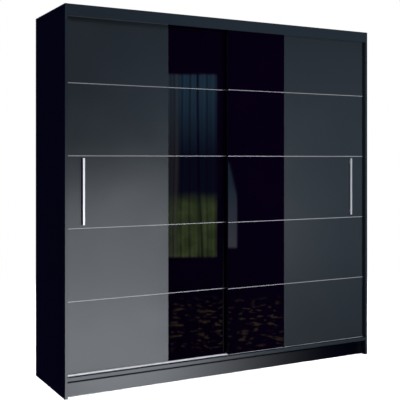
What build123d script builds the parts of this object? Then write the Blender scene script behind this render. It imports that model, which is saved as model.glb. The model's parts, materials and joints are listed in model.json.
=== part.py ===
from build123d import *
import os

# A free-standing wardrobe with two sliding doors on a two-lane track.
#
# Frame: millimetres, +X to the right as seen from the front, +Y to the back, +Z up.
# The origin is on the floor, in the middle of the footprint. The doors are closed:
# the left door runs in the rear lane and the right door in the front lane.

# ---------------------------------------------------------------- driving dimensions

width = 2050.0
depth = 580.0
height = 2136.0

board = 16.0  # laminated chipboard of the carcass
floor_board = 20.0  # the bottom panel, thicker because it carries the doors
edge_radius = 0.6  # rounding of the edge banding at the front
back_board = 3.0  # hardboard of the back
nail_head_height = 0.8

plinth_height = 95.0
plinth_setback = 45.0
fascia_height = 65.0
shelf_setback = 104.0  # front edges of the partition and shelves, behind the track

hat_shelf_height = 1750.0
loose_shelf_count = 4
shelf_play = 1.5  # gap at each end of a loose shelf
shelf_back_gap = 1.0

skin = 4.0  # facing sheets of a door, glass or board
core = 14.0  # carrying board of a door
door_height = 1985.0
door_bottom = 121.5
skirt = 3.5  # how far the facing sheets hang below the carrying board
door_side_gap = 3.0
door_overlap = 22.0
front_lane_setback = 28.0  # face of the front door behind the carcass front
lane_pitch = 37.0

glass_width = 400.0
strip_spacing = 400.5
strip_height = 4.0
strip_proud = 0.6

handle_length = 370.0
handle_width = 12.0
handle_bar_thickness = 10.0
handle_standoff = 7.0
handle_screw_pitch = 320.0
handle_inset = 103.0  # from the outer door edge to the middle of the bar
handle_rise = 3.0  # middle of the bar above the middle of the door

track_setback = 30.0
track_depth = 68.0
track_sheet = 1.5
rail_height = 4.0  # ridge that the wheels straddle
rail_width = 4.0
guide_wall_height = 11.0
guide_channel = 10.0

wheel_radius = 13.5
tread_radius = 11.0
wheel_width = 8.0
wheel_lift = 0.3  # air left between the tread and the rail
axle_radius = 3.0
axle_clearance = 0.05
roller_inset = 90.0  # from a door edge to the middle of a roller or guide

# ---------------------------------------------------------------- derived dimensions

front = -depth / 2
rear = depth / 2 - nail_head_height - back_board  # rear edges of the boards
inner = width / 2 - board  # half the clear width
floor_top = plinth_height + floor_board
ceiling = height - board
half_partition = board / 2

door_width = inner - door_side_gap + door_overlap / 2
door_thickness = skin + core
door_edge = inner - door_side_gap  # outer edge of a closed door, from the middle
door_top = door_bottom + door_height
door_middle = door_bottom + door_height / 2
handle_middle = door_middle + handle_rise
travel = 2 * door_edge - door_width

rail_top = floor_top + track_sheet + rail_height
axle_height = rail_top + wheel_lift + tread_radius

os.makedirs("parts", exist_ok=True)


# ---------------------------------------------------------------- helpers

def save(piece, label):
    """Name a finished piece and write its file."""
    piece.part.label = label
    export_step(piece.part, f"parts/{label}.step")


def block(low, high, mode=Mode.ADD):
    """Add or cut a block between its lowest and its highest corner."""
    size = [b - a for a, b in zip(low, high)]
    middle = [(a + b) / 2 for a, b in zip(low, high)]
    with Locations(tuple(middle)):
        Box(*size, mode=mode)


def evenly(first, last, count):
    """Evenly spaced values from first to last."""
    step = (last - first) / (count - 1)
    return [first + step * index for index in range(count)]


def round_front_edges(piece, axis):
    """Round the two front edges of a board that run along the given axis."""
    fillet(piece.edges().filter_by(axis).group_by(Axis.Y)[0], radius=edge_radius)


def drill(points, plane, radius, length):
    """Drill blind round holes from the plane against its normal."""
    with BuildSketch(plane) as holes:
        with Locations(*points):
            Circle(radius)
    extrude(holes.sketch, amount=-length, mode=Mode.SUBTRACT)


# ---------------------------------------------------------------- fittings' places

cam_radius = 7.5
cam_length = 12.0
cam_end_inset = 34.0
cam_front_inset = 160.0
cam_rear_inset = 60.0
cam_rows = [front + cam_front_inset, rear - cam_rear_inset]

pin_radius = 2.5
pin_depth = 9.0
pin_inset = 50.0  # from the front and back edges of a shelf
pin_rows = [front + shelf_setback + pin_inset, rear - pin_inset]

clear_below_hat = hat_shelf_height - floor_top
shelf_step = (clear_below_hat + board) / (loose_shelf_count + 1)
shelf_levels = [floor_top + shelf_step * (n + 1) - board for n in range(loose_shelf_count)]
pin_points = [(y, level - pin_radius) for y in pin_rows for level in shelf_levels]
hole_pitch = 32.0  # spare holes above and below each pin let a shelf be moved
hole_steps = (-2, -1, 0, 1, 2)
pin_holes = [(y, z + step * hole_pitch) for y, z in pin_points for step in hole_steps]

bracket_x = 700.0
bracket_leg = 40.0
bracket_sheet = 2.0
bracket_width = 30.0
wall_hole_radius = 2.75
wall_hole_drop = 24.0
wall_hole_height = ceiling - wall_hole_drop


# ---------------------------------------------------------------- carcass boards

def make_side_panel(side, label):
    """A side panel; side is -1 on the left and 1 on the right."""
    x_low, x_high = sorted((side * inner, side * width / 2))
    with BuildPart() as panel:
        block((x_low, front, 0), (x_high, rear, height))
        round_front_edges(panel, Axis.Z)
        if side > 0:
            inner_face = Plane(origin=(inner, 0, 0), x_dir=(0, 1, 0), z_dir=(-1, 0, 0))
            drill([(y, -z) for y, z in pin_holes], inner_face, pin_radius, pin_depth)
    save(panel, label)


make_side_panel(-1, "side_panel_left")
make_side_panel(1, "side_panel_right")

with BuildPart() as top_panel:
    block((-inner, front + board, ceiling), (inner, rear, height))
    cam_points = [(side * (inner - cam_end_inset), -y) for side in (-1, 1) for y in cam_rows]
    underside = Plane(origin=(0, 0, ceiling), x_dir=(1, 0, 0), z_dir=(0, 0, -1))
    drill(cam_points, underside, cam_radius, cam_length)
save(top_panel, "top_panel")

with BuildPart() as bottom_panel:
    block((-inner, front, plinth_height), (inner, rear, floor_top))
    round_front_edges(bottom_panel, Axis.X)
    underside = Plane(origin=(0, 0, plinth_height), x_dir=(1, 0, 0), z_dir=(0, 0, -1))
    drill(cam_points, underside, cam_radius, cam_length)
save(bottom_panel, "bottom_panel")

with BuildPart() as top_fascia:
    block((-inner, front, height - fascia_height), (inner, front + board, height))
    round_front_edges(top_fascia, Axis.X)
save(top_fascia, "top_fascia")

with BuildPart() as centre_partition:
    block((-half_partition, front + shelf_setback, floor_top), (half_partition, rear, ceiling))
    round_front_edges(centre_partition, Axis.Z)
    right_face = Plane(origin=(half_partition, 0, 0), x_dir=(0, 1, 0), z_dir=(1, 0, 0))
    drill(pin_holes, right_face, pin_radius, pin_depth)
save(centre_partition, "centre_partition")

with BuildPart() as front_plinth:
    plinth_front = front + plinth_setback
    block((-inner, plinth_front, 0), (inner, plinth_front + board, plinth_height))
save(front_plinth, "front_plinth")

with BuildPart() as rear_plinth:
    block((-inner, rear - board, 0), (inner, rear, plinth_height))
save(rear_plinth, "rear_plinth")

with BuildPart() as plinth_cross_rails:
    for x in (-inner / 2, 0, inner / 2):
        block(
            (x - half_partition, plinth_front + board, 0),
            (x + half_partition, rear - board, plinth_height),
        )
save(plinth_cross_rails, "plinth_cross_rails")


# ---------------------------------------------------------------- shelves

def make_hat_shelf(x_low, x_high, label):
    """A fixed upper shelf, held by four cam locks in its underside."""
    with BuildPart() as shelf:
        low_corner = (x_low, front + shelf_setback, hat_shelf_height)
        block(low_corner, (x_high, rear, hat_shelf_height + board))
        round_front_edges(shelf, Axis.X)
        lock_ends = (x_low + cam_end_inset, x_high - cam_end_inset)
        points = [(x, -y) for x in lock_ends for y in cam_rows]
        face = Plane(origin=(0, 0, hat_shelf_height), x_dir=(1, 0, 0), z_dir=(0, 0, -1))
        drill(points, face, cam_radius, cam_length)
    save(shelf, label)


make_hat_shelf(-inner, -half_partition, "hat_shelf_left")
make_hat_shelf(half_partition, inner, "hat_shelf_right")

for number, level in enumerate(shelf_levels, start=1):
    with BuildPart() as loose_shelf:
        block(
            (half_partition + shelf_play, front + shelf_setback, level),
            (inner - shelf_play, rear - shelf_back_gap, level + board),
        )
        round_front_edges(loose_shelf, Axis.X)
    save(loose_shelf, f"shelf_{number}")

with BuildPart() as shelf_pins:
    pin_reach = 9.0
    collar_radius = 4.0
    collar_length = 1.0
    for wall, inward in ((half_partition, 1), (inner, -1)):
        pin_middle = wall + inward * (pin_reach - pin_depth) / 2
        collar_middle = wall + inward * collar_length / 2
        for y, z in pin_points:
            with Locations((pin_middle, y, z)):
                Cylinder(pin_radius, pin_reach + pin_depth, rotation=(0, 90, 0))
            with Locations((collar_middle, y, z)):
                Cylinder(collar_radius, collar_length, rotation=(0, 90, 0))
save(shelf_pins, "shelf_pins")

with BuildPart() as cam_locks:
    slot_length = 8.0
    slot_width = 2.0
    slot_depth = 1.5
    full_width_ends = (-inner + cam_end_inset, inner - cam_end_inset)
    hat_ends = full_width_ends + (-half_partition - cam_end_inset, half_partition + cam_end_inset)
    panels = [(ceiling, full_width_ends), (plinth_height, full_width_ends), (hat_shelf_height, hat_ends)]
    for face_height, ends in panels:
        for x in ends:
            for y in cam_rows:
                with Locations((x, y, face_height + cam_length / 2)):
                    Cylinder(cam_radius, cam_length)
                with Locations((x, y, face_height + slot_depth / 2)):
                    Box(slot_length, slot_width, slot_depth, mode=Mode.SUBTRACT)
                    Box(slot_width, slot_length, slot_depth, mode=Mode.SUBTRACT)
save(cam_locks, "cam_locks")


# ---------------------------------------------------------------- back

back_margin = 2.0
back_joint = 0.5
back_low = plinth_height + back_margin
back_high = height - back_margin


def make_back_panel(side, label):
    """One half of the hardboard back; it meets the other half on the partition."""
    x_low, x_high = sorted((side * back_joint / 2, side * (width / 2 - back_margin)))
    with BuildPart() as panel:
        block((x_low, rear, back_low), (x_high, rear + back_board, back_high))
        outer_face = Plane(origin=(0, rear + back_board, 0), x_dir=(-1, 0, 0), z_dir=(0, 1, 0))
        drill([(-side * bracket_x, wall_hole_height)], outer_face, wall_hole_radius, back_board)
    save(panel, label)


make_back_panel(-1, "back_panel_left")
make_back_panel(1, "back_panel_right")

with BuildPart() as back_panel_nails:
    nail_head_radius = 3.0
    upright_inset = 40.0
    upright_count = 12
    level_inset = 110.0
    level_count = 6
    upright_lines = [side * x for side in (-1, 1) for x in (half_partition / 2, width / 2 - board / 2)]
    level_lines = [floor_top - floor_board / 2, hat_shelf_height + board / 2, height - board / 2]
    upright_zs = evenly(back_low + upright_inset, back_high - upright_inset, upright_count)
    level_xs = evenly(level_inset, width / 2 - level_inset, level_count)
    nails = [(x, z) for x in upright_lines for z in upright_zs]
    for side in (-1, 1):
        nails += [(side * x, z) for x in level_xs for z in level_lines]
    for x, z in nails:
        with Locations((x, rear + back_board + nail_head_height / 2, z)):
            Cylinder(nail_head_radius, nail_head_height, rotation=(90, 0, 0))
save(back_panel_nails, "back_panel_nails")


# ---------------------------------------------------------------- hanging rail

rail_tube_height = 30.0
rail_tube_width = 15.0
rail_wall = 1.2
rail_drop = 60.0
rail_y = (front + shelf_setback + rear) / 2
rail_z = hat_shelf_height - rail_drop
socket_flange = 3.0
flange_rim_height = 9.0  # how far the flange reaches past the tube, above and below
flange_rim_width = 6.0  # and at each side
socket_collar = 10.0
socket_wall = 2.0


def make_rail_socket(face, inward, label):
    """The cup that holds one end of the hanging rail; face is the wall it is on."""
    with BuildPart() as socket:
        with BuildSketch(Plane.YZ.offset(face)):
            with Locations((rail_y, rail_z)):
                flange_height = rail_tube_height + 2 * flange_rim_height
                flange_width = rail_tube_width + 2 * flange_rim_width
                SlotOverall(flange_height, flange_width, rotation=90)
        extrude(amount=inward * socket_flange)
        with BuildSketch(Plane.YZ.offset(face + inward * socket_flange)):
            with Locations((rail_y, rail_z)):
                outside = 2 * socket_wall
                SlotOverall(rail_tube_height + outside, rail_tube_width + outside, rotation=90)
                SlotOverall(rail_tube_height, rail_tube_width, rotation=90, mode=Mode.SUBTRACT)
        extrude(amount=inward * socket_collar)
    save(socket, label)


make_rail_socket(-inner, 1, "rail_socket_left")
make_rail_socket(-half_partition, -1, "rail_socket_right")

with BuildPart() as hanging_rail:
    rail_start = -inner + socket_flange
    rail_end = -half_partition - socket_flange
    with BuildSketch(Plane.YZ.offset(rail_start)):
        with Locations((rail_y, rail_z)):
            hollow = 2 * rail_wall
            SlotOverall(rail_tube_height, rail_tube_width, rotation=90)
            SlotOverall(
                rail_tube_height - hollow, rail_tube_width - hollow, rotation=90, mode=Mode.SUBTRACT
            )
    extrude(amount=rail_end - rail_start)
save(hanging_rail, "hanging_rail")


# ---------------------------------------------------------------- tracks

def lane_face(lane):
    """Y of a door's face: lane 0 is the front lane and lane 1 the rear lane."""
    return front + front_lane_setback + lane * lane_pitch


def lane_middle(lane):
    """Y of the middle of a door's core, which the wheels and guides run in."""
    return lane_face(lane) + skin + core / 2


lanes = (0, 1)
track_front = front + track_setback
track_middle = track_front + track_depth / 2

with BuildPart() as bottom_track:
    rear_lip = 3.0
    with BuildSketch(Plane.YZ.offset(-inner)):
        with Locations((track_middle, floor_top + track_sheet / 2)):
            Rectangle(track_depth, track_sheet)
        for lane in lanes:
            with Locations((lane_middle(lane), rail_top - rail_height / 2)):
                Rectangle(rail_width, rail_height)
        lip_y = track_front + track_depth - track_sheet / 2
        with Locations((lip_y, floor_top + track_sheet + rear_lip / 2)):
            Rectangle(track_sheet, rear_lip)
    extrude(amount=2 * inner)
    rail_edges = bottom_track.edges().filter_by(Axis.X).group_by(Axis.Z)[-1]
    fillet(rail_edges, radius=rail_width / 4)
save(bottom_track, "bottom_track")

with BuildPart() as top_track:
    with BuildSketch(Plane.YZ.offset(-inner)):
        with Locations((track_middle, ceiling - track_sheet / 2)):
            Rectangle(track_depth, track_sheet)
        for lane in lanes:
            for side in (-1, 1):
                wall_y = lane_middle(lane) + side * (guide_channel + track_sheet) / 2
                with Locations((wall_y, ceiling - guide_wall_height / 2)):
                    Rectangle(track_sheet, guide_wall_height)
    extrude(amount=2 * inner)
save(top_track, "top_track")

with BuildPart() as track_screws:
    head_radius = 3.5
    head_height = 2.0
    end_inset = 60.0
    screw_count = 7
    screw_y = (lane_middle(0) + lane_middle(1)) / 2
    bottom_level = floor_top + track_sheet + head_height / 2
    top_level = ceiling - track_sheet - head_height / 2
    for x in evenly(-inner + end_inset, inner - end_inset, screw_count):
        for z in (bottom_level, top_level):
            with Locations((x, screw_y, z)):
                Cylinder(head_radius, head_height)
save(track_screws, "track_screws")

with BuildPart() as door_buffers:
    buffer_radius = 6.0
    buffer_thickness = 2.5
    buffer_inset = 180.0
    for side in (-1, 1):
        for lane in lanes:
            for z in (door_bottom + buffer_inset, door_top - buffer_inset):
                with Locations((side * (inner - buffer_thickness / 2), lane_middle(lane), z)):
                    Cylinder(buffer_radius, buffer_thickness, rotation=(0, 90, 0))
save(door_buffers, "door_buffers")


# ---------------------------------------------------------------- wall brackets

def make_wall_bracket(side, label):
    """An angle under the top panel; the wall screw goes through its upright leg."""
    with BuildPart() as bracket:
        with BuildSketch(Plane.YZ.offset(side * bracket_x - bracket_width / 2)):
            with Locations((rear - bracket_sheet / 2, ceiling - bracket_leg / 2)):
                Rectangle(bracket_sheet, bracket_leg)
            with Locations((rear - bracket_leg / 2, ceiling - bracket_sheet / 2)):
                Rectangle(bracket_leg, bracket_sheet)
        extrude(amount=bracket_width)
        leg_face = Plane(origin=(0, rear, 0), x_dir=(-1, 0, 0), z_dir=(0, 1, 0))
        drill([(-side * bracket_x, wall_hole_height)], leg_face, wall_hole_radius, bracket_sheet)
    save(bracket, label)


make_wall_bracket(-1, "wall_bracket_left")
make_wall_bracket(1, "wall_bracket_right")

with BuildPart() as wall_bracket_screws:
    half_spacing = 8.0
    rear_inset = 26.0
    head_level = ceiling - bracket_sheet - head_height / 2
    for x in (-bracket_x, bracket_x):
        for across in (-half_spacing, half_spacing):
            with Locations((x + across, rear - rear_inset, head_level)):
                Cylinder(head_radius, head_height)
save(wall_bracket_screws, "wall_bracket_screws")


# ---------------------------------------------------------------- sliding doors

housing_width = 56.0
housing_height = 36.0
housing_depth = 13.0
housing_wall = 1.5
plate_width = 90.0
plate_height = 50.0
plate_screw_radius = 3.5
plate_screw_spacing = (74.0, 9.0)

guide_length = 50.0
guide_base = 12.0
guide_nose_length = 34.0
guide_nose_width = 8.0
guide_nose_height = 10.0

stiffener_inset = 30.0
stiffener_width = 16.0
stiffener_depth = 8.0
stiffener_wall = 1.5
stiffener_end_gap = 60.0

handle_post_radius = 5.0
handle_screw_radius = 2.0
handle_screw_head_radius = 4.0
handle_screw_head = 2.5
handle_screw_grip = 5.0
bar_corner = 1.2
bar_end_chamfer = 0.5

groove_play = 0.5  # between the rail and each flank of a wheel's groove
groove_flare = 0.7


class Door:
    """Where one door's pieces are; side is -1 for the left door and 1 for the right."""

    def __init__(self, name, side, lane):
        self.name = name
        self.side = side
        self.outer = side * door_edge
        self.inner = self.outer - side * door_width
        self.face = lane_face(lane)
        self.joint = self.face + skin  # where the facing sheets meet the core
        self.back = self.face + door_thickness
        self.middle = lane_middle(lane)
        self.handle_x = self.outer - side * handle_inset
        self.glass_edge = self.inner + side * glass_width
        self.roller_xs = [self.outer - side * roller_inset, self.inner + side * roller_inset]
        self.stiffener_xs = [self.outer - side * stiffener_inset, self.inner + side * stiffener_inset]

    def save(self, piece, label):
        save(piece, f"{self.name}_{label}")


strip_levels = [door_middle + strip_spacing * step for step in (-1.5, -0.5, 0.5, 1.5)]
handle_screw_levels = [handle_middle + side * handle_screw_pitch / 2 for side in (-1, 1)]


def segments():
    """Lowest and highest Z of the five fields that the strips divide a door into."""
    lows = [door_bottom - skirt] + [level + strip_height / 2 for level in strip_levels]
    highs = [level - strip_height / 2 for level in strip_levels] + [door_top]
    return list(zip(lows, highs))


def back_plane(door):
    """The plane of a door's back, with its X to the left and its Y upwards."""
    return Plane(origin=(0, door.back, 0), x_dir=(-1, 0, 0), z_dir=(0, 1, 0))


def make_core(door):
    """The carrying board, with pockets for rollers, guides, stiffeners and screws."""
    with BuildPart() as carrier:
        x_low, x_high = sorted((door.outer, door.inner))
        block((x_low, door.joint, door_bottom), (x_high, door.back, door_top))
        for x in door.roller_xs:
            half_housing = housing_width / 2
            block(
                (x - half_housing, door.joint, door_bottom),
                (x + half_housing, door.back, door_bottom + housing_height),
                Mode.SUBTRACT,
            )
            block(
                (x - plate_width / 2, door.back - housing_wall, door_bottom),
                (x + plate_width / 2, door.back, door_bottom + plate_height),
                Mode.SUBTRACT,
            )
            block(
                (x - guide_length / 2, door.middle - guide_channel / 2, door_top - guide_base),
                (x + guide_length / 2, door.middle + guide_channel / 2, door_top),
                Mode.SUBTRACT,
            )
        for x in door.stiffener_xs:
            block(
                (x - stiffener_width / 2, door.back - stiffener_depth, door_bottom + stiffener_end_gap),
                (x + stiffener_width / 2, door.back, door_top - stiffener_end_gap),
                Mode.SUBTRACT,
            )
        screws = [(-door.handle_x, z) for z in handle_screw_levels]
        drill(screws, back_plane(door), handle_screw_radius, core)
        drill(screws, back_plane(door), handle_screw_head_radius, handle_screw_head)
    door.save(carrier, "core")


def make_facing(door, x_from, x_to, label, drilled):
    """Five sheets of glass or board, one in each field between the strips."""
    x_low, x_high = sorted((x_from, x_to))
    with BuildPart() as facing:
        for z_low, z_high in segments():
            block((x_low, door.face, z_low), (x_high, door.joint, z_high))
        if drilled:
            joint_plane = back_plane(door).offset(-core)
            screws = [(-door.handle_x, z) for z in handle_screw_levels]
            drill(screws, joint_plane, handle_screw_radius, skin)
    door.save(facing, label)


def make_strips(door):
    """Four aluminium strips across the door, standing a little proud of the sheets."""
    x_low, x_high = sorted((door.outer, door.inner))
    with BuildPart() as strips:
        for z in strip_levels:
            block(
                (x_low, door.face - strip_proud, z - strip_height / 2),
                (x_high, door.joint, z + strip_height / 2),
            )
        fillet(strips.edges().filter_by(Axis.X).group_by(Axis.Y)[0], radius=strip_proud / 2)
    door.save(strips, "trim_strips")


def make_stiffeners(door):
    """Two channel profiles let into the back, which keep the tall door straight."""
    with BuildPart() as stiffeners:
        for x in door.stiffener_xs:
            half_width = stiffener_width / 2
            half_inside = half_width - stiffener_wall
            web_front = door.back - stiffener_depth
            z_low = door_bottom + stiffener_end_gap
            z_high = door_top - stiffener_end_gap
            block((x - half_width, web_front, z_low), (x + half_width, door.back, z_high))
            block(
                (x - half_inside, web_front + stiffener_wall, z_low),
                (x + half_inside, door.back, z_high),
                Mode.SUBTRACT,
            )
    door.save(stiffeners, "stiffeners")


def make_handle(door):
    """A square-edged bar on two short round posts, held by screws through the door."""
    half_width = handle_width / 2
    half_length = handle_length / 2
    bar_back = door.face - handle_standoff
    bar_front = bar_back - handle_bar_thickness
    with BuildPart() as bar:
        block(
            (door.handle_x - half_width, bar_front, handle_middle - half_length),
            (door.handle_x + half_width, bar_back, handle_middle + half_length),
        )
        fillet(bar.edges().filter_by(Axis.Z), radius=bar_corner)
        end_faces = bar.faces().filter_by(Axis.Z)
        chamfer(end_faces.edges(), length=bar_end_chamfer)
    door.save(bar, "handle_bar")

    face_plane = Plane(origin=(0, door.face, 0), x_dir=(-1, 0, 0), z_dir=(0, 1, 0))
    points = [(-door.handle_x, z) for z in handle_screw_levels]
    with BuildPart() as posts:
        with BuildSketch(face_plane):
            with Locations(*points):
                Circle(handle_post_radius)
        extrude(amount=-handle_standoff)
        drill(points, face_plane, handle_screw_radius, handle_screw_grip)
    door.save(posts, "handle_posts")

    with BuildPart() as screws:
        with BuildSketch(back_plane(door)):
            with Locations(*points):
                Circle(handle_screw_head_radius)
        extrude(amount=-handle_screw_head)
        with BuildSketch(back_plane(door)):
            with Locations(*points):
                Circle(handle_screw_radius)
        extrude(amount=-(door_thickness + handle_screw_grip))
    door.save(screws, "handle_screws")


def plate_screw_points(door):
    """Screw places on the roller plates, in the plane of the door's back."""
    across, up = plate_screw_spacing
    level = door_bottom + plate_height / 2
    return [
        (-(x + side * across / 2), level + lift * up)
        for x in door.roller_xs
        for side in (-1, 1)
        for lift in (-1, 1)
    ]


def make_roller_brackets(door):
    """Two housings open at the bottom, each with a plate flush in the door's back."""
    with BuildPart() as brackets:
        for x in door.roller_xs:
            half_width = housing_width / 2
            half_inside = half_width - housing_wall
            housing_front = door.back - housing_depth
            top = door_bottom + housing_height
            plate_front = door.back - housing_wall
            block((x - half_width, housing_front, door_bottom), (x + half_width, door.back, top))
            block(
                (x - plate_width / 2, plate_front, door_bottom),
                (x + plate_width / 2, door.back, door_bottom + plate_height),
            )
            block(
                (x - half_inside, housing_front + housing_wall, door_bottom),
                (x + half_inside, plate_front, top - housing_wall),
                Mode.SUBTRACT,
            )
        axles = [(-x, axle_height) for x in door.roller_xs]
        drill(axles, back_plane(door), axle_radius, housing_depth)
        drill(plate_screw_points(door), back_plane(door), plate_screw_radius, housing_wall)
    door.save(brackets, "roller_brackets")

    with BuildPart() as bracket_screws:
        with BuildSketch(back_plane(door)):
            with Locations(*plate_screw_points(door)):
                Circle(plate_screw_radius)
        extrude(amount=-housing_wall)
    door.save(bracket_screws, "bracket_screws")

    with BuildPart() as roller_axles:
        with BuildSketch(back_plane(door)):
            with Locations(*axles):
                Circle(axle_radius)
        extrude(amount=-housing_depth)
    door.save(roller_axles, "roller_axles")


def make_wheel(door, x, label):
    """A grooved wheel that straddles the rail and turns on its axle."""
    groove_half = rail_width / 2 + groove_play
    rim_half = groove_half + groove_flare
    half_width = wheel_width / 2
    hub = (x, door.middle, axle_height)
    with BuildPart() as wheel:
        with BuildSketch(Plane(origin=hub, x_dir=(0, 1, 0), z_dir=(1, 0, 0))):
            with BuildLine():
                bore = axle_radius + axle_clearance
                Polyline(
                    (-half_width, bore),
                    (half_width, bore),
                    (half_width, wheel_radius),
                    (rim_half, wheel_radius),
                    (groove_half, tread_radius),
                    (-groove_half, tread_radius),
                    (-rim_half, wheel_radius),
                    (-half_width, wheel_radius),
                    close=True,
                )
            make_face()
        revolve(axis=Axis(hub, (0, 1, 0)))
    door.save(wheel, label)


def make_top_guides(door):
    """Two plastic guides let into the door's top edge, with noses in the top track."""
    half_nose = guide_nose_length / 2
    half_nose_width = guide_nose_width / 2
    nose_top = door_top + guide_nose_height
    with BuildPart() as guides:
        for x in door.roller_xs:
            block(
                (x - guide_length / 2, door.middle - guide_channel / 2, door_top - guide_base),
                (x + guide_length / 2, door.middle + guide_channel / 2, door_top),
            )
            block(
                (x - half_nose, door.middle - half_nose_width, door_top),
                (x + half_nose, door.middle + half_nose_width, nose_top),
            )
    door.save(guides, "top_guides")


def make_dust_brush(door):
    """A pile strip on the rear door that closes the gap where the doors overlap."""
    base_width = 8.0
    base_thickness = 1.5
    pile_width = 5.0
    tip_gap = 0.8
    brush_inset = 6.0
    end_gap = 4.0
    x = door.inner + door.side * brush_inset
    pile_tip = lane_face(0) + door_thickness + tip_gap
    z_low = door_bottom + end_gap
    z_high = door_top - end_gap
    fields = [(max(low, z_low), min(high, z_high)) for low, high in segments()]
    with BuildPart() as brush:
        for low, high in fields:
            block(
                (x - base_width / 2, door.face - base_thickness, low),
                (x + base_width / 2, door.face, high),
            )
        block(
            (x - pile_width / 2, pile_tip, z_low),
            (x + pile_width / 2, door.face - base_thickness, z_high),
        )
    door.save(brush, "dust_brush")


def make_door(door):
    """All pieces of one sliding door."""
    make_core(door)
    make_facing(door, door.outer, door.glass_edge, "board_panels", drilled=True)
    make_facing(door, door.glass_edge, door.inner, "glass_panels", drilled=False)
    make_strips(door)
    make_stiffeners(door)
    make_handle(door)
    make_roller_brackets(door)
    make_wheel(door, door.roller_xs[0], "wheel_outer")
    make_wheel(door, door.roller_xs[1], "wheel_inner")
    make_top_guides(door)


left_door = Door("left_door", side=-1, lane=1)
right_door = Door("right_door", side=1, lane=0)
make_door(left_door)
make_door(right_door)
make_dust_brush(left_door)

print(f"door width {door_width}, travel {travel}, axle height {axle_height}")
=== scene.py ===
"""Looks of the sliding door wardrobe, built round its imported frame. Units are metres."""

import json
import math
import random

import bmesh
import bpy
from mathutils import Matrix, Vector


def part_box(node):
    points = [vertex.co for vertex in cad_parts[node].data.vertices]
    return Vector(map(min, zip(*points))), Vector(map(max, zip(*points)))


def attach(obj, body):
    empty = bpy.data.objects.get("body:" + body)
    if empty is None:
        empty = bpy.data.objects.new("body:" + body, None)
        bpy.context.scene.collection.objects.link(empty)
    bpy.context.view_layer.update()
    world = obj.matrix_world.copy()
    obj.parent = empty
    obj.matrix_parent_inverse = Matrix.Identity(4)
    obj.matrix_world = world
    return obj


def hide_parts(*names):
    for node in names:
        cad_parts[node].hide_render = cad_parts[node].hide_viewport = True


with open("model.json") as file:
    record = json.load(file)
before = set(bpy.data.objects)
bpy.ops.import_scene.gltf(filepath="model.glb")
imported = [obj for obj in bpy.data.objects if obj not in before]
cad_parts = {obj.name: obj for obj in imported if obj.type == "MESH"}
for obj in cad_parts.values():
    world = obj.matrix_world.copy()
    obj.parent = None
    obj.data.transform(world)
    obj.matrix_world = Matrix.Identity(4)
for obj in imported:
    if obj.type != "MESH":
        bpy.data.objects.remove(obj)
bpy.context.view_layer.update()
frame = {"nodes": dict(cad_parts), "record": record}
nodes = frame["nodes"]
scene = bpy.context.scene
doors = ("left_door", "right_door")


# ---------------------------------------------------------------- camera

eye = Vector((-2.355, -4.566, 1.295))
eye_azimuth = math.radians(-30)  # looks level, turned from +Y towards +X
focal_length = 73.1
sensor_width = 36

camera_data = bpy.data.cameras.new("camera")
camera_data.lens = focal_length
camera_data.sensor_width = sensor_width
camera_data.shift_x = -0.121
camera_data.shift_y = -0.1017
camera_data.clip_start = 0.1
camera_data.clip_end = 60
camera = bpy.data.objects.new("camera", camera_data)
camera.location = eye
camera.rotation_euler = (math.radians(90), 0, eye_azimuth)
scene.collection.objects.link(camera)
scene.camera = camera
scene.view_settings.view_transform = "Standard"


# ---------------------------------------------------------------- node helpers

def rgb(red, green, blue):
    return (red, green, blue, 1.0)


def scaled(color, factor):
    return tuple(channel * factor for channel in color)


class Graph:
    """A node tree with short calls for the nodes used here. Most calls return an output socket."""

    def __init__(self, tree):
        self.tree = tree
        self.tree.nodes.clear()

    def node(self, kind, **settings):
        made = self.tree.nodes.new(kind)
        for name, value in settings.items():
            setattr(made, name, value)
        return made

    def feed(self, socket, value):
        """Link a socket to an output, or set it to a plain value."""
        if isinstance(value, bpy.types.NodeSocket):
            self.tree.links.new(value, socket)
        elif value is not None:
            socket.default_value = value

    def math(self, operation, a, b=None):
        made = self.node("ShaderNodeMath", operation=operation)
        self.feed(made.inputs[0], a)
        self.feed(made.inputs[1], b)
        return made.outputs[0]

    def product(self, first, *others):
        for other in others:
            first = self.math("MULTIPLY", first, other)
        return first

    def dot(self, vector, direction):
        made = self.node("ShaderNodeVectorMath", operation="DOT_PRODUCT")
        self.feed(made.inputs[0], vector)
        self.feed(made.inputs[1], direction)
        return made.outputs["Value"]

    def remap(self, value, start, end, low=0.0, high=1.0, smooth=False):
        """Value from start to end becomes low to high, clamped."""
        kind = "SMOOTHSTEP" if smooth else "LINEAR"
        made = self.node("ShaderNodeMapRange", interpolation_type=kind)
        for slot, item in zip(made.inputs, (value, start, end, low, high)):
            self.feed(slot, item)
        return made.outputs[0]

    def mix(self, share, a, b):
        made = self.node("ShaderNodeMix", data_type="RGBA")
        self.feed(made.inputs["Factor"], share)
        self.feed(made.inputs[6], a)
        self.feed(made.inputs[7], b)
        return made.outputs[2]

    def between(self, value, low, high, soft):
        """1 where the value lies between low and high, fading over soft at both ends."""
        rising = self.remap(value, low - soft, low + soft, smooth=True)
        falling = self.remap(value, high + soft, high - soft, smooth=True)
        return self.product(rising, falling)

    def stretched(self, place, scale):
        made = self.node("ShaderNodeMapping")
        self.feed(made.inputs["Vector"], place)
        made.inputs["Scale"].default_value = scale
        return made.outputs[0]

    def noise_at(self, place, scale, detail=2.0):
        """Smooth noise about 0.5, with scale features to one unit of place."""
        made = self.node("ShaderNodeTexNoise")
        self.feed(made.inputs["Vector"], place)
        made.inputs["Scale"].default_value = scale
        made.inputs["Detail"].default_value = detail
        return made.outputs[0]


# ---------------------------------------------------------------- world

window_azimuth = 26.2  # degrees, where the reflected window's middle stands


def turned(azimuth):
    """Level unit vector; azimuth 0 points out of the wardrobe's front and 90 to its right."""
    a = math.radians(azimuth)
    return Vector((math.sin(a), -math.cos(a), 0))


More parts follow.
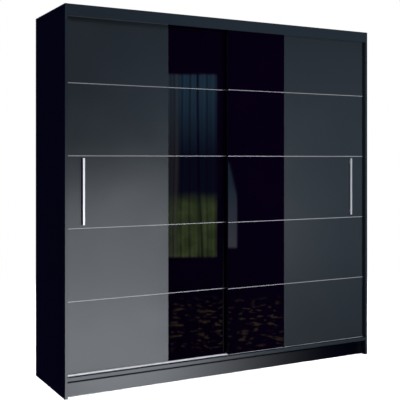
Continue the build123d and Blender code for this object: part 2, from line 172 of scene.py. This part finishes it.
def window_reflection(g, direction, across, rise):
    """Share and colour of a window: a dim sky over a lawn, seen through thin curtains."""
    share = g.product(
        g.between(across, -0.035, 0.0275, 0.001),
        g.between(rise, -0.119, 0.104, 0.002),
    )
    fold_rate = 900.0
    waves = [g.math("SINE", g.product(across, rate)) for rate in (fold_rate, fold_rate / 2.7)]
    folds = g.remap(g.product(*waves), -0.7, 0.7, 0.5, 1.2)
    post_lean = 0.024
    slanted = g.math("ADD", across, g.product(rise, post_lean))
    post = g.between(slanted, 0.0052, 0.0074, 0.0006)
    share = g.product(share, folds, g.remap(post, 0.0, 1.0, 1.0, 0.1))

    sky = g.mix(g.remap(rise, 0.0, 0.08), rgb(0.02, 0.08, 0.14), rgb(0.30, 0.75, 1.15))
    leaves = g.noise_at(direction, 70.0, detail=3.0)
    lawn = g.mix(g.remap(leaves, 0.35, 0.65), rgb(0.55, 0.85, 0.22), rgb(0.98, 1.40, 0.45))
    view = g.mix(g.remap(rise, -0.038, -0.058, smooth=True), sky, lawn)
    veil = g.remap(across, -0.018, -0.022, 0.0, 0.45)
    return share, g.mix(veil, view, rgb(0.75, 0.76, 0.66))


def drape_reflection(g, across, rise):
    """Share and colour of a pale drape beside the window, wider towards its foot."""
    edge_lean = 0.22
    edge = g.math("ADD", across, g.product(rise, edge_lean))
    share = g.product(
        g.between(rise, -0.108, -0.004, 0.002),
        g.between(across, 0.039, 0.0515, 0.001),
        g.remap(edge, 0.043, 0.040),
    )
    lowering = g.remap(rise, -0.03, -0.10)
    return share, g.mix(lowering, rgb(0.25, 0.55, 0.75), rgb(0.95, 1.0, 1.25))


def carpet_reflection(g, direction, across, rise):
    """Share and colour of gold flecks on a dark carpet, flattened by the low angle."""
    flattening = 3.2
    weave = g.noise_at(g.stretched(direction, (1.0, 1.0, flattening)), 95.0)
    share = g.product(
        g.remap(weave, 0.57, 0.64),
        g.between(rise, -0.225, -0.172, 0.010),
        g.between(across, -0.030, 0.105, 0.012),
    )
    return share, rgb(0.62, 0.46, 0.19)


def make_world():
    """White behind the object, dim fill, and for reflections a dark room with one window."""
    world = bpy.data.worlds.new("studio")
    world.use_nodes = True
    world.cycles.sampling_method = "NONE"
    scene.world = world
    g = Graph(world.node_tree)
    direction = g.node("ShaderNodeTexCoord").outputs["Generated"]
    rise = g.dot(direction, (0, 0, 1))
    across = g.dot(direction, tuple(turned(window_azimuth + 90)))
    ahead = g.remap(g.dot(direction, tuple(turned(window_azimuth))), 0.0, 0.1)

    dark_wall = rgb(0.003, 0.002, 0.014)
    bright_ceiling = rgb(1.2, 1.2, 1.2)
    room = g.mix(g.remap(rise, 0.45, 0.85, smooth=True), dark_wall, bright_ceiling)
    sights = (
        window_reflection(g, direction, across, rise),
        drape_reflection(g, across, rise),
        carpet_reflection(g, direction, across, rise),
    )
    for share, color in sights:
        room = g.mix(g.product(share, ahead), room, color)

    path = g.node("ShaderNodeLightPath")
    dim_fill = rgb(0.028, 0.028, 0.10)
    white = rgb(1, 1, 1)
    seen = g.mix(path.outputs["Is Glossy Ray"], dim_fill, room)
    seen = g.mix(path.outputs["Is Camera Ray"], seen, white)
    background = g.node("ShaderNodeBackground")
    g.feed(background.inputs["Color"], seen)
    output = g.node("ShaderNodeOutputWorld")
    g.feed(output.inputs["Surface"], background.outputs[0])


# ---------------------------------------------------------------- floor

def floor_paint():
    """Pale matt paint that fades to clear away from the middle."""
    fade_start, fade_end = 1.8, 4.5
    material = bpy.data.materials.new("floor")
    material.use_nodes = True
    g = Graph(material.node_tree)
    where = g.node("ShaderNodeTexCoord").outputs["Object"]
    reach = g.node("ShaderNodeVectorMath", operation="LENGTH")
    g.feed(reach.inputs[0], where)
    share = g.remap(reach.outputs["Value"], fade_start, fade_end, smooth=True)
    grain = g.noise_at(where, 3.0)
    paint = g.node("ShaderNodeBsdfDiffuse")
    g.feed(paint.inputs["Color"], g.mix(grain, rgb(0.86, 0.86, 0.87), rgb(0.89, 0.89, 0.89)))
    clear = g.node("ShaderNodeBsdfTransparent")
    blend = g.node("ShaderNodeMixShader")
    g.feed(blend.inputs[0], share)
    g.feed(blend.inputs[1], paint.outputs[0])
    g.feed(blend.inputs[2], clear.outputs[0])
    output = g.node("ShaderNodeOutputMaterial")
    g.feed(output.inputs["Surface"], blend.outputs[0])
    return material


def make_floor():
    """A pale disc that thins out to nothing before its rim."""
    radius = 6.0
    count = 96
    turns = [2 * math.pi * n / count for n in range(count)]
    rim = [(radius * math.cos(a), radius * math.sin(a), 0) for a in turns]
    mesh = bpy.data.meshes.new("floor")
    mesh.from_pydata(rim, [], [range(count)])
    mesh.materials.append(floor_paint())
    floor = bpy.data.objects.new("floor", mesh)
    scene.collection.objects.link(floor)
    floor.visible_glossy = False
    floor.visible_diffuse = False
    floor.visible_shadow = False
    return floor


# ---------------------------------------------------------------- lamps

def softbox(name, place, aim, size, power, glossy=False, diffuse=True):
    """A large soft lamp; glossy and diffuse say which rays find it."""
    lamp = bpy.data.lights.new(name, "AREA")
    lamp.shape = "RECTANGLE"
    lamp.size, lamp.size_y = size
    lamp.energy = power
    holder = bpy.data.objects.new(name, lamp)
    holder.location = place
    holder.rotation_euler = (Vector(aim) - Vector(place)).to_track_quat("-Z", "Y").to_euler()
    holder.visible_glossy = glossy
    holder.visible_diffuse = diffuse
    holder.visible_camera = False
    scene.collection.objects.link(holder)
    return holder


def link_light(lamp, objects, state):
    """Let a lamp light only these objects (INCLUDE), or all but these (EXCLUDE)."""
    group = bpy.data.collections.new(lamp.name + "_receivers")
    for item in objects:
        group.objects.link(item)
    for member in group.collection_objects:
        member.light_linking.link_state = state
    lamp.light_linking.receiver_collection = group


def make_glow(name, place, size, power, lean, receivers, state):
    """A far bright area that shows only in reflections; lean tilts it in its own plane."""
    glow = softbox(name, place, (place[0], 0, place[2]), size, power, glossy=True, diffuse=False)
    glow.rotation_euler.rotate_axis("Z", lean)
    glow.data.color = (0.95, 0.98, 1.04)
    link_light(glow, receivers, state)


make_world()
floor = make_floor()
plinth = nodes["front_plinth"]
sills = [nodes["bottom_track"], nodes["bottom_panel"]]
handles = [nodes[f"{door}_handle_{piece}"] for door in doors for piece in ("bar", "posts")]

front_light = softbox("front_light", (1.2, -2.2, 1.2), (0.35, 0, 1.15), (1.2, 1.0), 48)
high_light = softbox("high_light", (-0.9, -2.0, 2.5), (-0.7, 0, 1.8), (1.0, 0.6), 12)
for lamp in (front_light, high_light):
    link_light(lamp, handles + [plinth], "EXCLUDE")
for x, power in ((-0.62, 20), (1.18, 14)):
    place = (x, -2.0, 1.3)
    handle_side = (x - 0.28, -0.25, 1.11)
    bar_light = softbox("bar_light", place, handle_side, (0.3, 0.5), power)
    link_light(bar_light, handles, "INCLUDE")
softbox("top_light", (0, -0.3, 4.6), (0, -0.3, 0), (2.0, 2.0), 40)
softbox("rear_light", (0.6, 4.2, 2.6), (0, 0, 1.0), (2.4, 1.6), 110)
floor_light = softbox("floor_light", (0, -0.6, 5.0), (0, -0.6, 0), (7.0, 7.0), 1500)
link_light(floor_light, [floor], "INCLUDE")

# To the camera, the left door's boards reflect the two wide glows, and the right door's
# boards reflect the small one beside their glass. A side panel reflects only the half of a
# wide glow across from it, so that its outer face, seen from behind, stays dark.
glows = (
    # name, x and y, width and height, top, power, lean
    ("low_glow", (0, -12.0), (12.0, 6.7), -0.12, 830, math.radians(13)),
    ("lowest_glow", (0, -11.8), (12.0, 4.5), -1.6, 270, 0.0),
    ("side_glow", (7.75, -12.0), (0.9, 1.8), 0.3, 6, 0.0),
)
glows_with_halves = ("low_glow", "lowest_glow")
side_panels = {1: nodes["side_panel_left"], -1: nodes["side_panel_right"]}
unlit = [nodes[door + "_glass_panels"] for door in doors]
unlit += [nodes["top_fascia"], plinth, *side_panels.values()]
for name, (x, y), (width, height), top, power, lean in glows:
    middle = top - height / 2
    make_glow(name, (x, y, middle), (width, height), power, lean, unlit, "EXCLUDE")
    if name not in glows_with_halves:
        continue
    for side, panel in side_panels.items():
        reach = side * width / 4
        place = (x + reach * math.cos(lean), y, middle + reach * math.sin(lean))
        half_size = (width / 2, height)
        half_name = f"{name}_{panel.name}"
        make_glow(half_name, place, half_size, power / 2, lean, [panel], "INCLUDE")

plinth_light = softbox("plinth_light", (-0.70, -1.5, 0.66), (-0.70, -0.24, 0.05), (0.8, 0.1), 51)
plinth_light.data.spread = math.radians(82)
plinth_light.data.color = (1.0, 0.74, 0.61)
link_light(plinth_light, [plinth], "INCLUDE")
sill_light = softbox("sill_light", (-0.9, -1.2, 1.6), (-0.7, -0.25, 0.1), (0.6, 0.6), 12)
link_light(sill_light, sills, "INCLUDE")
for sill in sills:
    sill.visible_glossy = False  # not mirrored in the doors' feet


# ---------------------------------------------------------------- finishes

class Finish(Graph):
    """A Principled material that takes its detail from the object's own coordinates."""

    def __init__(self, name, color, roughness, metallic=0.0, specular=0.5):
        self.material = bpy.data.materials.new(name)
        self.material.use_nodes = True
        super().__init__(self.material.node_tree)
        self.color = color
        self.roughness = roughness
        self.shader = self.node("ShaderNodeBsdfPrincipled")
        self.shader.inputs["Metallic"].default_value = metallic
        self.shader.inputs["Specular IOR Level"].default_value = specular
        output = self.node("ShaderNodeOutputMaterial")
        self.feed(output.inputs["Surface"], self.shader.outputs[0])
        self.where = self.node("ShaderNodeTexCoord").outputs["Object"]

    def noise(self, scale, stretch=(1, 1, 1), detail=2.0):
        """Smooth noise about 0.5, with scale features a metre; stretch slows it along an axis."""
        place = self.stretched(self.where, [1 / s for s in stretch])
        return self.noise_at(place, scale, detail)

    def cells(self, scale):
        """Flat cells, scale to a metre, each of a random colour."""
        made = self.node("ShaderNodeTexVoronoi")
        self.feed(made.inputs["Vector"], self.where)
        made.inputs["Scale"].default_value = scale
        return made.outputs["Color"]

    def shade(self, value, spread, color=None):
        """The colour, darker and lighter by spread as the value goes from 0.3 to 0.7."""
        color = color or self.color
        share = self.remap(value, 0.3, 0.7)
        return self.mix(share, rgb(*scaled(color, 1 - spread)), rgb(*scaled(color, 1 + spread)))

    def paint(self, color):
        self.feed(self.shader.inputs["Base Color"], color)

    def gloss(self, value, spread):
        """Roughness goes from its mean less spread to its mean plus spread."""
        level = self.remap(value, 0.3, 0.7, self.roughness - spread, self.roughness + spread)
        self.feed(self.shader.inputs["Roughness"], level)

    def bump(self, *layers):
        """Bump from (height, depth in metres) layers, one on another."""
        normal = None
        for height, depth in layers:
            made = self.node("ShaderNodeBump")
            made.inputs["Strength"].default_value = 1.0
            made.inputs["Distance"].default_value = depth
            self.feed(made.inputs["Height"], height)
            self.feed(made.inputs["Normal"], normal)
            normal = made.outputs[0]
        self.feed(self.shader.inputs["Normal"], normal)


def laminate(name, color, roughness, specular):
    """Satin melamine board: fine pearl texture, soft polish marks and a little pigment grain."""
    f = Finish(name, color, roughness, specular=specular)
    pigment = f.shade(f.noise(900, detail=3), 0.10)
    clouds = f.remap(f.noise(2.2, detail=4), 0.3, 0.7, 0.0, 0.12)
    f.paint(f.mix(clouds, pigment, rgb(*scaled(color, 1.25))))
    f.gloss(f.noise(5, detail=5), 0.02)
    f.bump((f.noise(1500, detail=1), 0.00002))
    return f.material


def black_glass():
    """Back-painted float glass: nearly flat, faintly wavy, with light smears of polish."""
    f = Finish("black_glass", (0.0018, 0.0002, 0.0046), 0.016, specular=0.38)
    f.paint(f.shade(f.noise(3, detail=3), 0.15))
    f.gloss(f.noise(9, stretch=(1, 1, 2.5), detail=5), 0.008)
    f.bump((f.noise(2.5, stretch=(1, 1, 2), detail=1), 0.0004))
    return f.material


def brushed(name, color, roughness, metallic, along):
    """Brushed metal; along is the axis that the fine scratches follow."""
    f = Finish(name, color, roughness, metallic)
    stretch = [60 if axis == along else 1 for axis in "XYZ"]
    scratches = f.noise(2400, stretch=stretch, detail=2)
    f.paint(f.shade(scratches, 0.07))
    f.gloss(f.noise(160, stretch=stretch, detail=3), 0.05)
    f.bump((scratches, 0.00001))
    return f.material


def zinc():
    """Zinc plate with faint crystals and a thin blue and yellow passivation tint."""
    f = Finish("zinc_steel", (0.55, 0.56, 0.58), 0.34, 0.85)
    spangle = f.remap(f.dot(f.cells(260), (0.4, 0.3, 0.3)), 0.2, 0.8)
    tint = f.mix(f.noise(60), rgb(0.50, 0.54, 0.60), rgb(0.60, 0.57, 0.48))
    f.paint(f.mix(0.5, tint, f.shade(spangle, 0.12)))
    f.gloss(spangle, 0.06)
    f.bump((f.noise(700), 0.00001))
    return f.material


def nail_steel():
    """Plain drawn steel, a little blotched."""
    f = Finish("nail_steel", (0.58, 0.58, 0.59), 0.38, 0.6)
    f.paint(f.shade(f.noise(800, detail=4), 0.2))
    f.gloss(f.noise(500), 0.08)
    f.bump((f.noise(1200), 0.00002))
    return f.material


def chrome():
    """Polished tube with faint drawing lines and a few dull touches."""
    f = Finish("chrome_tube", (0.76, 0.77, 0.79), 0.10, 1.0)
    f.paint(f.shade(f.noise(30, detail=3), 0.03))
    f.gloss(f.noise(14, detail=6), 0.05)
    f.bump((f.noise(900, stretch=(40, 1, 1)), 0.000004))
    return f.material


def rubber():
    """Matt black rubber with a coarse skin."""
    f = Finish("buffer_rubber", (0.03, 0.03, 0.031), 0.7)
    f.paint(f.shade(f.noise(500, detail=4), 0.2))
    f.gloss(f.noise(300), 0.08)
    f.bump((f.noise(1500, detail=3), 0.00006))
    return f.material


def nylon():
    """Milky natural nylon with a fine mould texture."""
    f = Finish("nylon", (0.74, 0.74, 0.70), 0.42)
    f.shader.inputs["Subsurface Weight"].default_value = 0.15
    f.shader.inputs["Subsurface Radius"].default_value = (0.003, 0.003, 0.002)
    f.paint(f.shade(f.noise(120, detail=4), 0.04))
    f.gloss(f.noise(200), 0.05)
    f.bump((f.noise(2500), 0.00001))
    return f.material


def pile():
    """Black brush fibres, streaked front to back."""
    f = Finish("brush_pile", (0.018, 0.018, 0.020), 0.85, specular=0.2)
    f.shader.inputs["Sheen Weight"].default_value = 0.3
    f.paint(f.shade(f.noise(700, stretch=(1, 8, 1)), 0.35))
    f.gloss(f.noise(300), 0.08)
    f.bump((f.noise(2600, stretch=(1, 12, 1)), 0.0001))
    return f.material


def hardboard():
    """Thin fibreboard: dark lacquer inside, raw brown fibre with a mesh imprint behind."""
    f = Finish("back_hardboard", (0.026, 0.028, 0.034), 0.5, specular=0.4)
    place = f.node("ShaderNodeSeparateXYZ")
    f.feed(place.inputs[0], f.where)
    low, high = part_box("back_panel_left")
    middle = (low.y + high.y) / 2
    turnover = 0.0002
    raw = f.remap(place.outputs["Y"], middle - turnover, middle + turnover)

    fibres = f.noise(380, detail=6)
    flecks = f.remap(f.noise(900, stretch=(4, 1, 1), detail=2), 0.62, 0.72)
    stains = f.remap(f.noise(1.3, detail=3), 0.35, 0.7, 0.0, 0.3)
    brown = f.shade(fibres, 0.16, (0.27, 0.16, 0.088))
    brown = f.mix(flecks, brown, rgb(0.14, 0.08, 0.044))
    brown = f.mix(stains, brown, rgb(0.22, 0.125, 0.07))
    lacquer = f.shade(f.noise(700, detail=3), 0.08)
    f.paint(f.mix(raw, lacquer, brown))

    lacquer_level = f.remap(f.noise(20, detail=4), 0.3, 0.7, 0.44, 0.56)
    f.feed(f.shader.inputs["Roughness"], f.math("ADD", lacquer_level, f.product(raw, 0.3)))

    mesh_pitch = 0.0016
    rate = 2 * math.pi / mesh_pitch
    waves = [f.math("SINE", f.product(place.outputs[axis], rate)) for axis in "XZ"]
    imprint = f.product(*waves, raw)
    f.bump((imprint, 0.00006), (fibres, 0.00005))
    return f.material


finishes = {
    "carcass_board": laminate("carcass_board", (0.018, 0.026, 0.034), 0.20, 0.45),
    "back_hardboard": hardboard(),
    "nail_steel": nail_steel(),
    "zinc_steel": zinc(),
    "chrome_tube": chrome(),
    "track_aluminium": brushed("track_aluminium", (0.78, 0.79, 0.80), 0.38, 0.35, "X"),
    "buffer_rubber": rubber(),
    "door_core_board": laminate("door_core_board", (0.014, 0.018, 0.025), 0.3, 0.4),
    "door_facing_board": laminate("door_facing_board", (0.021, 0.0285, 0.034), 0.19, 0.45),
    "black_glass": black_glass(),
    "strip_aluminium": brushed("strip_aluminium", (0.35, 0.355, 0.36), 0.36, 0.35, "X"),
    "stiffener_aluminium": brushed("stiffener_aluminium", (0.50, 0.51, 0.53), 0.40, 0.6, "Z"),
    "handle_metal": brushed("handle_metal", (0.86, 0.87, 0.88), 0.32, 0.35, "Z"),
    "nylon": nylon(),
    "brush_pile": pile(),
}
for part in frame["record"]["subparts"]:
    for place in nodes[part["node"]].material_slots:
        place.material = finishes[part["material_slot"]]


# ---------------------------------------------------------------- mesh helpers

def islands(node):
    """Lowest and highest corner of each separate solid in a CAD node."""
    mesh = bmesh.new()
    mesh.from_mesh(nodes[node].data)
    bmesh.ops.remove_doubles(mesh, verts=mesh.verts, dist=1e-6)
    waiting = set(mesh.verts)
    boxes = []
    while waiting:
        stack = [waiting.pop()]
        places = []
        while stack:
            vertex = stack.pop()
            places.append(vertex.co.copy())
            for edge in vertex.link_edges:
                other = edge.other_vert(vertex)
                if other in waiting:
                    waiting.remove(other)
                    stack.append(other)
        low = Vector([min(place[axis] for place in places) for axis in range(3)])
        high = Vector([max(place[axis] for place in places) for axis in range(3)])
        boxes.append((low, high))
    mesh.free()
    return sorted(boxes, key=lambda box: tuple(box[0]))


def ring(mesh, frame_of, radius, height, count):
    """A loop of vertices round the axis of a local frame."""
    loop = []
    for n in range(count):
        turn = 2 * math.pi * n / count
        place = Vector((radius * math.cos(turn), radius * math.sin(turn), height))
        loop.append(mesh.verts.new(frame_of @ place))
    return loop


def skin_between(mesh, first, second):
    """A band of faces between two loops with as many vertices."""
    count = len(first)
    for n in range(count):
        follow = (n + 1) % count
        mesh.faces.new((first[n], first[follow], second[follow], second[n]))


def lathe(mesh, frame_of, profile, count):
    """An open surface through (radius, height) points; returns the loop at each point."""
    loops = [ring(mesh, frame_of, radius, height, count) for radius, height in profile]
    for first, second in zip(loops, loops[1:]):
        skin_between(mesh, first, second)
    return loops


def local_frame(place, normal, turn=0.0):
    """A frame at a place, with its Z along the normal, turned about it."""
    lie = Vector(normal).to_track_quat("Z", "Y").to_matrix().to_4x4()
    return Matrix.Translation(place) @ lie @ Matrix.Rotation(turn, 4, "Z")


def end_of(box, normal):
    """Middle of the side of a box that faces against the normal, and its length along that."""
    low, high = box
    middle = (low + high) / 2
    axis = max(range(3), key=lambda n: abs(normal[n]))
    place = middle.copy()
    place[axis] = low[axis] if normal[axis] > 0 else high[axis]
    return place, high[axis] - low[axis]


def finished_piece(name, mesh, body, slot, stands_for, sharp=35):
    """Turn a bmesh into a piece that rides on a body and stands for a CAD node."""
    bmesh.ops.recalc_face_normals(mesh, faces=mesh.faces)
    data = bpy.data.meshes.new(name)
    mesh.to_mesh(data)
    mesh.free()
    data.shade_smooth()
    data.set_sharp_from_angle(angle=math.radians(sharp))
    piece = bpy.data.objects.new(name, data)
    scene.collection.objects.link(piece)
    data.materials.append(finishes[slot])
    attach(piece, body)
    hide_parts(stands_for)


# ---------------------------------------------------------------- screws and nails

def cross_outline(arm, half):
    """Corners of a plus sign, counter-clockwise from the arm that points along +X."""
    quarter = [(arm, -half), (arm, half), (half, half)]
    points = []
    for turn in range(4):
        for x, y in quarter:
            for _ in range(turn):
                x, y = -y, x
            points.append((x, y))
    return points


def cross_head(mesh, frame_of, radius, height, dome, count=40):
    """A screw head with a cross recess; dome is the share of its height that curves."""
    arcs = 5
    top_radius = 0.66 * radius
    upright_height = height * (1 - dome)
    profile = [(radius, 0), (radius, upright_height)]
    for n in range(1, arcs + 1):
        turn = 0.5 * math.pi * n / arcs
        profile.append((
            top_radius + (radius - top_radius) * math.cos(turn),
            height * (1 - dome + dome * math.sin(turn)),
        ))
    loops = lathe(mesh, frame_of, profile, count)
    mesh.faces.new(list(reversed(loops[0])))

    depth = min(0.55 * height, 0.3 * radius)
    mouth_outline = cross_outline(0.52 * radius, 0.13 * radius)
    pit_outline = cross_outline(0.34 * radius, 0.10 * radius)
    mouth = [mesh.verts.new(frame_of @ Vector((x, y, height))) for x, y in mouth_outline]
    pit = [mesh.verts.new(frame_of @ Vector((x, y, height - depth))) for x, y in pit_outline]
    skin_between(mesh, mouth, pit)
    mesh.faces.new(pit)

    rims = []
    for loop in (loops[-1], mouth):
        for n, vertex in enumerate(loop):
            other = loop[(n + 1) % len(loop)]
            rims.append(mesh.edges.get((vertex, other)) or mesh.edges.new((vertex, other)))
    bmesh.ops.bridge_loops(mesh, edges=rims)


def nail_head(mesh, frame_of, radius, height, count=16):
    """A low domed nail head."""
    arcs = 4
    upright_share = 0.35
    profile = [(radius, 0)]
    for n in range(arcs):
        turn = 0.5 * math.pi * n / arcs
        share = upright_share + (1 - upright_share) * math.sin(turn)
        profile.append((radius * math.cos(turn), height * share))
    loops = lathe(mesh, frame_of, profile, count)
    mesh.faces.new(list(reversed(loops[0])))
    mesh.faces.new(loops[-1])


def upright(box):
    """Up for a disc in the wardrobe's lower half and down for one under its top."""
    return (0, 0, 1) if box[0].z < 1.0 else (0, 0, -1)


def rearward(box):
    return (0, 1, 0)


def make_screws(node, body, normal_of, dome):
    """Cross-headed screws in place of a node's plain discs, each turned its own way."""
    turns = random.Random(node)
    mesh = bmesh.new()
    for box in islands(node):
        normal = normal_of(box)
        place, length = end_of(box, normal)
        radius = (box[1].x - box[0].x) / 2
        lie = local_frame(place, normal, turns.uniform(0, math.pi))
        cross_head(mesh, lie, radius, length, dome)
    finished_piece(node + "_crossed", mesh, body, "zinc_steel", node)


def make_handle_screws(door):
    """Flush heads in the door's back, each with its shank through to the post."""
    node = door + "_handle_screws"
    turns = random.Random(node)
    head_height = 0.0025
    head_dome = 0.15
    shank_radius = 0.002
    mesh = bmesh.new()
    for low, high in islands(node):
        middle = (low + high) / 2
        seat = Vector((middle.x, high.y - head_height, middle.z))
        radius = (high.x - low.x) / 2
        lie = local_frame(seat, (0, 1, 0), turns.uniform(0, math.pi))
        cross_head(mesh, lie, radius, head_height, head_dome)
        tip = local_frame((middle.x, low.y, middle.z), (0, 1, 0))
        shank_length = high.y - low.y - head_height
        loops = lathe(mesh, tip, [(shank_radius, 0), (shank_radius, shank_length)], 20)
        mesh.faces.new(list(reversed(loops[0])))
        mesh.faces.new(loops[-1])
    finished_piece(node + "_crossed", mesh, door, "zinc_steel", node)


def make_nails():
    """Domed heads in place of the back's plain discs."""
    node = "back_panel_nails"
    mesh = bmesh.new()
    for box in islands(node):
        place, length = end_of(box, (0, 1, 0))
        radius = (box[1].x - box[0].x) / 2
        nail_head(mesh, local_frame(place, (0, 1, 0)), radius, length)
    finished_piece("nail_heads", mesh, "carcass", "nail_steel", node)


pan_dome = 0.7
flush_dome = 0.12
make_screws("track_screws", "carcass", upright, pan_dome)
make_screws("wall_bracket_screws", "carcass", upright, pan_dome)
for door in doors:
    make_screws(door + "_bracket_screws", door, rearward, flush_dome)
    make_handle_screws(door)
make_nails()


# ---------------------------------------------------------------- dust brush

def clamped(value, low, high):
    return min(max(value, low), high)


def brush_backing(mesh, low, high, front, back):
    """A thin strip with eased front edges, broken where the door's metal strips cross it."""
    ease_depth = 0.0004
    ease_width = 0.0008
    outline = [
        (low.x, back), (low.x, front + ease_depth), (low.x + ease_width, front),
        (high.x - ease_width, front), (high.x, front + ease_depth), (high.x, back),
    ]
    gaps = sorted((band[0].z, band[1].z) for band in islands("left_door_trim_strips"))
    starts = [low.z] + [top for _, top in gaps]
    ends = [bottom for bottom, _ in gaps] + [high.z]
    for start, end in zip(starts, ends):
        loops = [[mesh.verts.new((x, y, z)) for x, y in outline] for z in (start, end)]
        skin_between(mesh, loops[0], loops[1])
        mesh.faces.new(loops[1])
        mesh.faces.new(list(reversed(loops[0])))


def bristle(mesh, x, y, z, tip, lowest, highest):
    """A slim closed spike; its three-cornered foot is turned by its place across the strip."""
    radius = 0.0006
    turns_by_place = 9000  # radians to a metre, so that neighbours differ
    feet = []
    for corner in range(3):
        angle = 2 * math.pi * corner / 3 + x * turns_by_place
        foot_z = clamped(z + radius * math.sin(angle), lowest, highest)
        feet.append(mesh.verts.new((x + radius * math.cos(angle), y, foot_z)))
    peak = mesh.verts.new(tip)
    for corner in range(3):
        mesh.faces.new((feet[corner], feet[(corner + 1) % 3], peak))
    mesh.faces.new(feet)


def make_dust_brush():
    """A backing strip with a dense row of fine bristles, a little uneven at their tips."""
    node = "left_door_dust_brush"
    low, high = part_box(node)
    door_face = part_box("left_door_board_panels")[0].y
    backing_front = door_face - 0.0015
    pile_half = 0.0025
    middle = (low.x + high.x) / 2
    mesh = bmesh.new()
    brush_backing(mesh, low, high, backing_front, door_face)

    chance = random.Random("pile")
    rows = 4
    pitch = 0.0017
    stray = (0.15, 0.85)  # where in its own square of the pile a bristle may stand
    most_lean_x, most_lean_z, most_short = 0.0009, 0.0012, 0.0012
    for step in range(int((high.z - low.z) / pitch)):
        for row in range(rows):
            x = middle + pile_half * (2 * (row + chance.uniform(*stray)) / rows - 1)
            z = low.z + pitch * (step + chance.uniform(*stray))
            lean_x = chance.uniform(-most_lean_x, most_lean_x)
            lean_z = chance.uniform(-most_lean_z, most_lean_z)
            tip = (
                clamped(x + lean_x, low.x, high.x),
                low.y + chance.uniform(0.0, most_short),
                clamped(z + lean_z, low.z, high.z),
            )
            bristle(mesh, x, backing_front, z, tip, low.z, high.z)
    finished_piece("dust_brush_bristles", mesh, "left_door", "brush_pile", node, sharp=60)


make_dust_brush()
